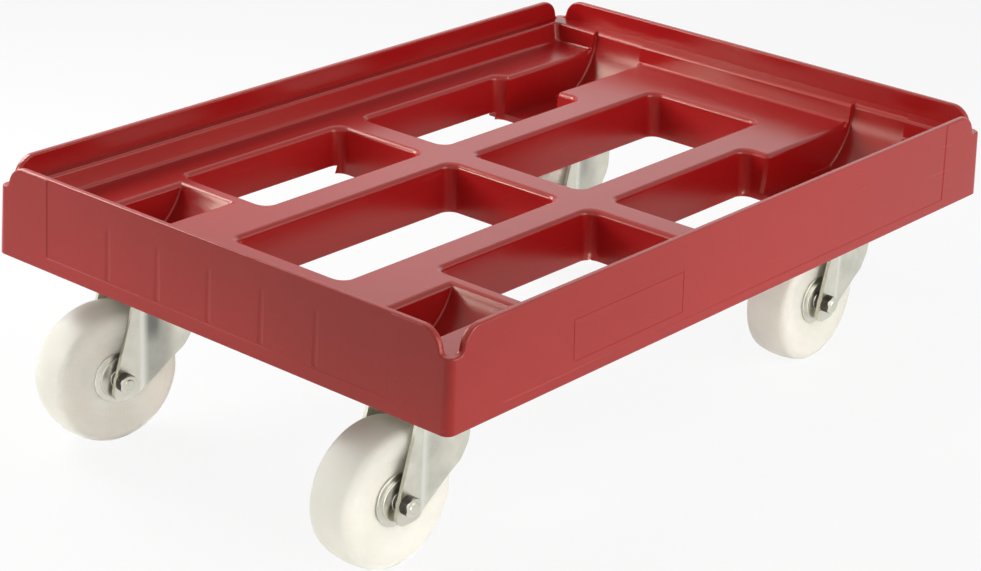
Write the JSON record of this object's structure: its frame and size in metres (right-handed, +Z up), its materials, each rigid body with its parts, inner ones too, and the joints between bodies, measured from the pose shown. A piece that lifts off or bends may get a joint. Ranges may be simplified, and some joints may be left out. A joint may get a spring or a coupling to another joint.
{
  "type": "crate dolly",
  "caption": "Low rectangular plastic dolly with a raised rim and slotted deck that carries a stacking crate on swivel castors with solid wheels.",
  "frame": {"origin": "on the floor, under the middle of the whole dolly's box with the castors trailing to the rear", "axes": "+X along the long side, the way it is pushed; +Y to the left; +Z up"},
  "size_m": [0.6374, 0.42, 0.1945],
  "materials": {
    "frame_plastic": "injection-moulded red polypropylene, satin",
    "zinc_steel": "pressed steel, bright zinc plated",
    "bearing_steel": "ground bearing steel, greased",
    "wheel_nylon": "natural polyamide, satin"
  },
  "bodies": {
    "chassis": {"frame": "frame_plastic", "mount_screws": "zinc_steel", "front_left_top_plate": "zinc_steel", "front_left_king_pin": "zinc_steel", "front_left_upper_balls": "bearing_steel", "front_left_lower_balls": "bearing_steel", "front_left_lower_race": "zinc_steel", "front_left_dust_ring": "zinc_steel", "front_right_top_plate": "zinc_steel", "front_right_king_pin": "zinc_steel", "front_right_upper_balls": "bearing_steel", "front_right_lower_balls": "bearing_steel", "front_right_lower_race": "zinc_steel", "front_right_dust_ring": "zinc_steel", "rear_left_top_plate": "zinc_steel", "rear_left_king_pin": "zinc_steel", "rear_left_upper_balls": "bearing_steel", "rear_left_lower_balls": "bearing_steel", "rear_left_lower_race": "zinc_steel", "rear_left_dust_ring": "zinc_steel", "rear_right_top_plate": "zinc_steel", "rear_right_king_pin": "zinc_steel", "rear_right_upper_balls": "bearing_steel", "rear_right_lower_balls": "bearing_steel", "rear_right_lower_race": "zinc_steel", "rear_right_dust_ring": "zinc_steel"},
    "front_left_swivel": {"front_left_fork": "zinc_steel", "front_left_axle_bolt": "zinc_steel", "front_left_axle_nut": "zinc_steel", "front_left_axle_sleeve": "bearing_steel", "front_left_bearing_covers": "zinc_steel"},
    "front_left_roll": {"front_left_wheel": "wheel_nylon", "front_left_roller_bearing": "bearing_steel"},
    "front_right_swivel": {"front_right_fork": "zinc_steel", "front_right_axle_bolt": "zinc_steel", "front_right_axle_nut": "zinc_steel", "front_right_axle_sleeve": "bearing_steel", "front_right_bearing_covers": "zinc_steel"},
    "front_right_roll": {"front_right_wheel": "wheel_nylon", "front_right_roller_bearing": "bearing_steel"},
    "rear_left_swivel": {"rear_left_fork": "zinc_steel", "rear_left_axle_bolt": "zinc_steel", "rear_left_axle_nut": "zinc_steel", "rear_left_axle_sleeve": "bearing_steel", "rear_left_bearing_covers": "zinc_steel"},
    "rear_left_roll": {"rear_left_wheel": "wheel_nylon", "rear_left_roller_bearing": "bearing_steel"},
    "rear_right_swivel": {"rear_right_fork": "zinc_steel", "rear_right_axle_bolt": "zinc_steel", "rear_right_axle_nut": "zinc_steel", "rear_right_axle_sleeve": "bearing_steel", "rear_right_bearing_covers": "zinc_steel"},
    "rear_right_roll": {"rear_right_wheel": "wheel_nylon", "rear_right_roller_bearing": "bearing_steel"}
  },
  "joints": [
    {"name": "front_left_swivel_turn", "type": "hinge", "parent": "chassis", "child": "front_left_swivel", "pos_m": [0.24619, 0.129, 0.127], "axis": [0, 0, 1], "continuous": true},
    {"name": "front_left_wheel_spin", "type": "hinge", "parent": "front_left_swivel", "child": "front_left_roll", "pos_m": [0.20619, 0.129, 0.05], "axis": [0, 1, 0], "continuous": true},
    {"name": "front_right_swivel_turn", "type": "hinge", "parent": "chassis", "child": "front_right_swivel", "pos_m": [0.24619, -0.129, 0.127], "axis": [0, 0, 1], "continuous": true},
    {"name": "front_right_wheel_spin", "type": "hinge", "parent": "front_right_swivel", "child": "front_right_roll", "pos_m": [0.20619, -0.129, 0.05], "axis": [0, 1, 0], "continuous": true},
    {"name": "rear_left_swivel_turn", "type": "hinge", "parent": "chassis", "child": "rear_left_swivel", "pos_m": [-0.22881, 0.129, 0.127], "axis": [0, 0, 1], "continuous": true},
    {"name": "rear_left_wheel_spin", "type": "hinge", "parent": "rear_left_swivel", "child": "rear_left_roll", "pos_m": [-0.26812, 0.13643, 0.05], "axis": [0.1857, 0.9826, 0], "continuous": true},
    {"name": "rear_right_swivel_turn", "type": "hinge", "parent": "chassis", "child": "rear_right_swivel", "pos_m": [-0.22881, -0.129, 0.127], "axis": [0, 0, 1], "continuous": true},
    {"name": "rear_right_wheel_spin", "type": "hinge", "parent": "rear_right_swivel", "child": "rear_right_roll", "pos_m": [-0.26876, -0.12691, 0.05], "axis": [0.0523, 0.9986, 0], "continuous": true}
  ]
}
